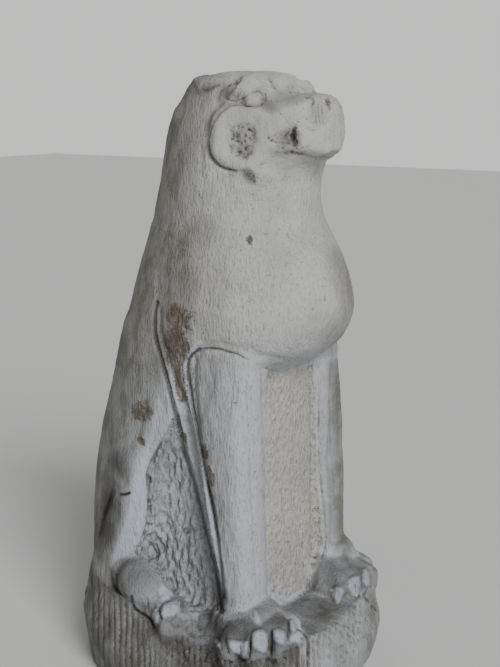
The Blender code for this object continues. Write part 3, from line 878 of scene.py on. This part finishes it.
def raised_forms(surface):
    """Heights of the swellings, the toes with the ground cut back under them, and the raised lines."""
    heights = np.zeros(len(surface.places))
    turned = smooth_step(0.05, 0.45, surface.facing["both"])
    for middle, radii, turn, height in SWELLINGS:
        heights += height * surface.oval(middle, radii, turn) * turned
    for outline, height in TOES:
        heights = np.maximum(heights, height * surface.inside(outline, TOE_EDGE, "seen"))
    heights -= UNDERCUT * surface.inside(UNDER_TOES, UNDERCUT_EDGE, "seen")
    for line, half_width, height in RAISED_LINES:
        surface.cut(heights, line, half_width, -height)
    return heights


def cut_lines(surface):
    """Heights of the lines cut into the head, the body and the paws."""
    heights = np.zeros(len(surface.places))
    for line, half_width, depth in (*HEAD_LINES, *NOSE_STROKES, *BODY_LINES):
        surface.cut(heights, line, half_width, depth)
    for line, half_width, depth in SEEN_LINES:
        surface.cut(heights, line, half_width, depth, "seen")
    return heights


def thin_out(piece, surface, carving):
    """Leaves the piece its share of triangles, closest together where the photograph sees it."""
    hidden = piece.vertex_groups.new(name="hidden")
    seen = surface.facing["seen"] > -0.1
    hidden.add(np.flatnonzero(seen).tolist(), SEEN_THINNING, "REPLACE")
    hidden.add(np.flatnonzero(~seen).tolist(), 1.0, "REPLACE")
    share = carving.triangles / (2 * len(piece.data.polygons))
    with_modifier(piece, "DECIMATE", ratio=share, vertex_group=hidden.name, vertex_group_factor=1.0)


class TIGER_OT_carve(bpy.types.Operator):
    """Carve the tiger and its plinth finer than the solid, and finish the stone"""

    bl_idname = "tiger.carve"
    bl_label = "Carve the tiger"

    def execute(self, context):
        carving = context.scene.tiger_carving
        piece = bpy.data.objects.new("carved_tiger", merged_copy())
        context.scene.collection.objects.link(piece)
        with_modifier(piece, "REMESH", mode="VOXEL", voxel_size=carving.grain)
        surface = Surface(piece.data)
        base = surface.places[:, 2].min()
        soften(surface, base, carving)
        surface.move(raised_forms(surface))
        surface.move(cut_lines(surface))
        above_ground = smooth_step(0, MARKS_ABOVE, surface.places[:, 2] - base)
        surface.move((tool_marks(surface, carving) + broken_places(surface)) * above_ground)
        thin_out(piece, surface, carving)
        paint(piece.data)
        piece.data.shade_smooth()
        piece.data.materials.append(stone_material(context.scene.tiger_stone))
        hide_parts(NODE)
        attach(piece, "root")
        return {"FINISHED"}


def strongest(surface, marks, power):
    """The strongest of some ovals at each point, as middle, radii, turn and strength."""
    found = np.zeros(len(surface.places))
    for middle, radii, turn, strength in marks:
        found = np.maximum(found, strength * surface.oval(middle, radii, turn, "seen") ** power)
    return found


def paint(mesh):
    """Writes where the stone is hollow, stained, dirty, weathered, warm, cool, pecked or hatched, and where
    shade and highlights are painted, for its material.
    """
    surface = Surface(mesh)
    smooth = surface.averaged(surface.places, 3)
    # Dirt and painted shade in the hollows: how far each point lies below its smoothed neighbours
    hollow = ((smooth - surface.places) * surface.outward).sum(1) / DARKEST_HOLLOW
    height = surface.places[:, 2]
    right = surface.places[:, 0] < RIGHT_END
    rightward = -surface.outward[:, 0]
    side = surface.inside(SIDE_PANEL, 3)
    front = surface.inside(FRONT_PANEL, 3, "seen")
    plinth = plinth_side(surface)
    face = surface.oval(*FACE) * (height > HEAD_FOOT)
    # Weathering and painted shade: darker where the stone faces away from the camera, less so on the left
    # side
    away = (surface.outward @ np.array(SHADED_WAY)) * np.where(surface.places[:, 0] > 0, 0.8, 1)
    # Grey dirt and painted shade: on what faces up near the ground, in the listed ovals and areas, and on
    # the plinth's side
    grey_dirt_and_shade = 0.8 * smooth_step(0.55, 0.95, surface.outward[:, 2]) * smooth_step(0.25, 0.17, height)
    grey_dirt_and_shade = np.maximum(grey_dirt_and_shade, strongest(surface, GREY_DIRT_AND_SHADE, 0.7) * right)
    for outline, edge, strength in GREY_DIRT_AND_SHADE_AREAS:
        grey_dirt_and_shade = np.maximum(grey_dirt_and_shade, strength * surface.inside(outline, edge, "seen"))
    # Painted highlights: the shin's and thigh's facets, the lip, the flap's crest and the toes, weaker on
    # the far paw
    painted_highlight = 0.8 * surface.inside(SHIN_FACE, 3) + 0.5 * surface.inside(THIGH_FACE, 4)
    painted_highlight += surface.stroke(LIP, 3.5)
    painted_highlight = np.maximum(painted_highlight, 0.45 * surface.stroke(FLAP_EDGE, 7))
    near = 0.8 + 0.2 * smooth_step(320, 300, surface.pixels["seen"][:, 0])
    for outline, _ in TOES:
        painted_highlight = np.maximum(painted_highlight, near * surface.inside(outline, 4, "seen"))
    # Weathering and painted shade on the back, the far edges and the plinth's side
    weathering_and_shade = smooth_step(0.1, 0.9, away) + plinth * (0.38 + 0.62 * smooth_step(0, 0.9, rightward))
    for line, reach, strength in WEATHERING_AND_SHADE:
        weathering_and_shade = np.maximum(weathering_and_shade, strength * surface.stroke(line, reach))
    for line, reach, strength in SEEN_WEATHERING_AND_SHADE:
        weathering_and_shade = np.maximum(weathering_and_shade, strength * surface.stroke(line, reach, "seen"))
    grey_dirt_and_shade = np.maximum(grey_dirt_and_shade, 0.55 * plinth * smooth_step(0.3, 0.9, rightward))
    # Painted shade along the grooves, cracks and holes
    groove_shade = np.zeros(len(surface.places))
    for line, reach, strength in GROOVE_SHADES:
        groove_shade = np.maximum(groove_shade, strength * surface.stroke(line, reach))
    surface.write_mask("hollow", hollow)
    surface.write_mask("stain", strongest(surface, STAINS, 0.5) * right)
    surface.write_mask("grey_dirt_and_shade", grey_dirt_and_shade)
    surface.write_mask("painted_highlight", painted_highlight)
    surface.write_mask("groove_shade", groove_shade)
    surface.write_mask("warm", front)
    surface.write_mask("cool", smooth_step(0.62, 0.5, height) * (1 - front))
    surface.write_mask("pecked", np.maximum(side, front))
    surface.write_mask("plinth", plinth)
    surface.write_mask("weathering_and_shade", weathering_and_shade)
    plain = (1 - side) * (1 - front) * (1 - plinth)
    surface.write_mask("hatched", (1 - smooth_step(0, 0.3, face)) * plain)


class Socket:
    """A number on a shader's wire, for sums that add their own Math nodes."""

    def __init__(self, tree, output):
        self.tree = tree
        self.output = output

    def math(self, operation, *others):
        values = {number + 1: other for number, other in enumerate(others)}
        return self.tree.add("ShaderNodeMath", {"operation": operation}, {0: self, **values})

    def __add__(self, other):
        return self.math("ADD", other)

    def __mul__(self, other):
        return self.math("MULTIPLY", other)

    def __sub__(self, other):
        return self.math("SUBTRACT", other)

    def __rsub__(self, other):
        return self.tree.add("ShaderNodeMath", {"operation": "SUBTRACT"}, {0: other, 1: self})

    __radd__ = __add__
    __rmul__ = __mul__


class Shader:
    """The nodes of one material."""

    def __init__(self, name):
        self.material = bpy.data.materials.new(name)
        self.material.use_nodes = True
        self.nodes = self.material.node_tree.nodes
        self.links = self.material.node_tree.links
        self.surface = self.nodes["Principled BSDF"]

    def connect(self, socket, value):
        """Wires a socket, or gives it a plain value."""
        if isinstance(value, Socket):
            self.links.new(value.output, socket)
        else:
            socket.default_value = value

    def add(self, kind, settings, inputs, output=0):
        """A new node with these settings, set first, and these values or wires on its sockets."""
        node = self.nodes.new(kind)
        for name, value in settings.items():
            setattr(node, name, value)
        for name, value in inputs.items():
            self.connect(node.inputs[name], value)
        return Socket(self, node.outputs[output])

    def mask(self, name):
        """A number that was kept for each point of the mesh."""
        return self.add("ShaderNodeAttribute", {"attribute_name": name}, {}, "Fac")

    def stretched(self, scale):
        """The place on the object, with each axis scaled."""
        places = self.add("ShaderNodeTexCoord", {}, {}, "Object")
        return self.add("ShaderNodeMapping", {}, {"Vector": places, "Scale": scale})

    def noise(self, size, detail, scale=(1, 1, 1)):
        """Noise whose lumps have about this size in metres, on the place scaled like this."""
        places = self.stretched(scale)
        return self.add(
            "ShaderNodeTexNoise", {}, {"Vector": places, "Scale": 1 / size, "Detail": detail}
        )

    def ramp(self, value, low, high):
        """0 below low and 1 above high."""
        return self.add(
            "ShaderNodeMapRange",
            {"interpolation_type": "SMOOTHSTEP"},
            {"Value": value, "From Min": low, "From Max": high},
        )

    def mix(self, share, one, other):
        """One colour where the share is 0, and the other where it is 1."""
        colours = [value if isinstance(value, Socket) else (*value, 1) for value in (one, other)]
        return self.add(
            "ShaderNodeMix", {"data_type": "RGBA"}, {0: share, 6: colours[0], 7: colours[1]}, 2
        )


def stone_material(stone):
    """Pale tooled stone, dull in patches, with dirt and painted shade in its hollows and grooves, brown
    stains, settled grey dirt with painted shade, weathering with painted shade, and painted highlights.
    """
    shader = Shader("weathered stone")
    hollow, stain, grey_dirt_and_shade, painted_highlight = map(shader.mask, ("hollow", "stain", "grey_dirt_and_shade", "painted_highlight"))
    groove_shade, warm, cool, pecked = map(shader.mask, ("groove_shade", "warm", "cool", "pecked"))
    plinth, weathering_and_shade, hatched = map(shader.mask, ("plinth", "weathering_and_shade", "hatched"))
    patches = shader.ramp(shader.noise(0.10, 6), 0.40, 0.66)
    patchy = shader.ramp(shader.noise(0.03, 5, (1, 1, 0.6)), 0.42, 0.62)
    speckle = shader.noise(0.0030, 4)
    specks = shader.ramp(shader.noise(0.005, 5), 0.6, 0.7)
    strokes = shader.noise(0.0036, 4, (1, 1, 0.30))
    streaked = shader.ramp(strokes, 0.50, 0.72) * (hatched * 0.7 + plinth * 0.9 + 0.3)
    pecks = shader.noise(0.0046, 4, (1, 1, 0.40))
    grime = shader.noise(0.012, 8, (1, 1, 0.8)) * 0.75 + shader.noise(0.0034, 4, (0.5, 1, 1.6)) * 0.5
    stained = shader.ramp(grime + stain * 0.38, 0.74, 0.90)
    scratched = 0.92 - shader.ramp(strokes, 0.48, 0.60) * 0.35
    colour = shader.mix(patches * 0.5, stone.light, stone.dull)
    colour = shader.mix(cool * 0.7, colour, stone.cool)
    colour = shader.mix(warm * 0.45, colour, stone.warm)
    colour = shader.mix(pecked * (1 - warm) * 0.10, colour, stone.weathering_and_shade)
    # Weathering and painted shade
    colour = shader.mix(weathering_and_shade * (patchy * 0.25 + 0.65), colour, stone.weathering_and_shade)
    colour = shader.mix(shader.ramp(speckle, 0.50, 0.70) * 0.35, colour, stone.dull)
    colour = shader.mix(streaked * 0.26, colour, stone.dirt_and_shade)
    colour = shader.mix(specks * patchy * 0.5, colour, stone.dirt_and_shade)
    # Painted shade in the valleys of the pecks, which also make the bump
    colour = shader.mix(shader.ramp(pecks, 0.50, 0.66) * pecked * 0.32, colour, stone.dirt_and_shade)
    # Grey dirt and painted shade
    colour = shader.mix(grey_dirt_and_shade * (patchy * 0.2 + 0.8) * 0.92, colour, stone.grey_dirt_and_shade)
    # Painted highlights
    colour = shader.mix(painted_highlight * (1 - speckle * 0.5), colour, stone.clean)
    # Dirt and painted shade in the hollows, less in the pecked panels
    colour = shader.mix(shader.ramp(hollow, 0.15, 1.0) * (1 - pecked * 0.6) * 0.75, colour, stone.dirt_and_shade)
    # Painted shade in the grooves, cracks and holes
    colour = shader.mix(groove_shade * 0.85, colour, stone.groove)
    colour = shader.mix(stained * scratched, colour, stone.stain)
    shader.connect(shader.surface.inputs["Base Color"], colour)
    shader.surface.inputs["Roughness"].default_value = stone.roughness
    grain = shader.noise(0.0016, 2) * 0.3 + speckle * 0.7
    grain = grain + strokes * (hatched * 1.6 + plinth * 1.2 + 0.5) + pecks * pecked * 4.2
    bump = shader.add("ShaderNodeBump", {}, {"Height": grain, "Strength": 0.8, "Distance": 0.0026})
    shader.connect(shader.surface.inputs["Normal"], bump)
    return shader.material


class TIGER_OT_stage(bpy.types.Operator):
    """Set the floor, the lights and the camera"""

    bl_idname = "tiger.stage"
    bl_label = "Set the stage"

    def execute(self, context):
        stage = context.scene.tiger_stage
        mesh = bpy.data.meshes.new("floor")
        work = bmesh.new()
        bmesh.ops.create_grid(work, x_segments=1, y_segments=1, size=FLOOR_REACH)
        work.to_mesh(mesh)
        work.free()
        floor = bpy.data.objects.new("floor", mesh)
        context.scene.collection.objects.link(floor)
        material = bpy.data.materials.new("plain floor")
        material.use_nodes = True
        shader = material.node_tree.nodes["Principled BSDF"]
        shader.inputs["Base Color"].default_value = (*stage.floor, 1)
        shader.inputs["Roughness"].default_value = 0.9
        mesh.materials.append(material)
        self.add_light(context, "key light", KEY_PLACE, stage.key, KEY_SPREAD)
        self.add_light(context, "back light", BACK_PLACE, stage.back, BACK_SPREAD)
        world = bpy.data.worlds.new("soft sky")
        context.scene.world = world
        world.use_nodes = True
        self.set_sky(world.node_tree, stage)
        self.add_camera(context)
        return {"FINISHED"}

    def set_sky(self, tree, stage):
        """Dim light all round, which the camera itself sees as a pale backdrop."""
        light = tree.nodes["Background"]
        light.inputs["Color"].default_value = (0.9, 0.9, 0.9, 1)
        light.inputs["Strength"].default_value = stage.sky
        backdrop = tree.nodes.new("ShaderNodeBackground")
        backdrop.inputs["Color"].default_value = (*stage.floor, 1)
        rays = tree.nodes.new("ShaderNodeLightPath")
        mixed = tree.nodes.new("ShaderNodeMixShader")
        tree.links.new(rays.outputs["Is Camera Ray"], mixed.inputs[0])
        tree.links.new(light.outputs[0], mixed.inputs[1])
        tree.links.new(backdrop.outputs[0], mixed.inputs[2])
        tree.links.new(mixed.outputs[0], tree.nodes["World Output"].inputs["Surface"])

    def add_light(self, context, name, place, strength, spread):
        """A far light that shines from this side of the statue, and is this many degrees wide."""
        data = bpy.data.lights.new(name, "SUN")
        data.energy = strength
        data.angle = math.radians(spread)
        light = bpy.data.objects.new(name, data)
        context.scene.collection.objects.link(light)
        light.location = place
        light.rotation_euler = (-Vector(place)).to_track_quat("-Z", "Y").to_euler()

    def add_camera(self, context):
        """The camera that took the photograph."""
        data = bpy.data.cameras.new("photograph")
        data.lens = FOCAL_PIXELS / PHOTO_HEIGHT * data.sensor_width
        camera = bpy.data.objects.new("photograph", data)
        camera.location = camera_place()
        camera.rotation_euler = camera_turn().to_euler()
        context.scene.collection.objects.link(camera)
        context.scene.camera = camera


class TIGER_PT_panel(bpy.types.Panel):
    """The tiger's tools"""

    bl_label = "Stone tiger"
    bl_idname = "TIGER_PT_panel"
    bl_space_type = "VIEW_3D"
    bl_region_type = "UI"
    bl_category = "Tiger"

    def draw(self, context):
        for group in (context.scene.tiger_carving, context.scene.tiger_stone, context.scene.tiger_stage):
            for name in group.__annotations__:
                self.layout.prop(group, name)
        self.layout.operator(TIGER_OT_carve.bl_idname)
        self.layout.operator(TIGER_OT_stage.bl_idname)


CLASSES = (TigerCarving, TigerStone, TigerStage, TIGER_OT_carve, TIGER_OT_stage, TIGER_PT_panel)


def register():
    for kind in CLASSES:
        bpy.utils.register_class(kind)
    bpy.types.Scene.tiger_carving = PointerProperty(type=TigerCarving)
    bpy.types.Scene.tiger_stone = PointerProperty(type=TigerStone)
    bpy.types.Scene.tiger_stage = PointerProperty(type=TigerStage)


def unregister():
    del bpy.types.Scene.tiger_stage
    del bpy.types.Scene.tiger_stone
    del bpy.types.Scene.tiger_carving
    for kind in reversed(CLASSES):
        bpy.utils.unregister_class(kind)


def main():
    register()
    bpy.ops.tiger.carve()
    bpy.ops.tiger.stage()


if __name__ == "__main__":
    main()
